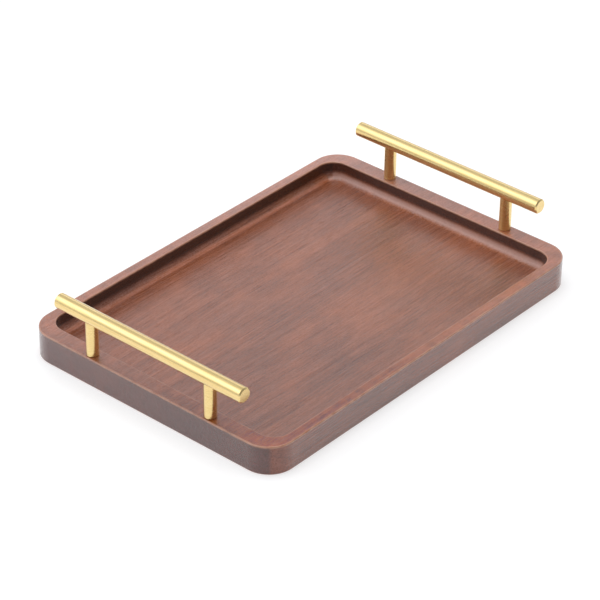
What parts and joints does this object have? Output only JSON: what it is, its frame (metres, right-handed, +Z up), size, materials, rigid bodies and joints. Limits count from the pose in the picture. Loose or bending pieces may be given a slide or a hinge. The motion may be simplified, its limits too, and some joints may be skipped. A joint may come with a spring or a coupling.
{
  "type": "serving tray",
  "caption": "Rectangular wooden serving tray with a coved well, rounded corners and a raised brass bar handle on two posts at each end.",
  "frame": {"origin": "centre of the tray's footprint on the underside it rests on", "axes": "+X along the tray's length towards the right handle, +Y across the tray to the rear, +Z up"},
  "size_m": [0.29, 0.2, 0.052],
  "materials": {
    "walnut_wood": "satin lacquer over walnut-brown stain, fine straight grain along X",
    "brushed_brass": "fine brushed, pale gold",
    "zinc_steel": "bright zinc plate"
  },
  "bodies": {
    "root": {"tray_board": "walnut_wood", "left_handle_bar": "brushed_brass", "left_front_post": "brushed_brass", "left_front_stud": "zinc_steel", "left_front_screw": "zinc_steel", "left_rear_post": "brushed_brass", "left_rear_stud": "zinc_steel", "left_rear_screw": "zinc_steel", "right_handle_bar": "brushed_brass", "right_front_post": "brushed_brass", "right_front_stud": "zinc_steel", "right_front_screw": "zinc_steel", "right_rear_post": "brushed_brass", "right_rear_stud": "zinc_steel", "right_rear_screw": "zinc_steel"}
  },
  "joints": []
}
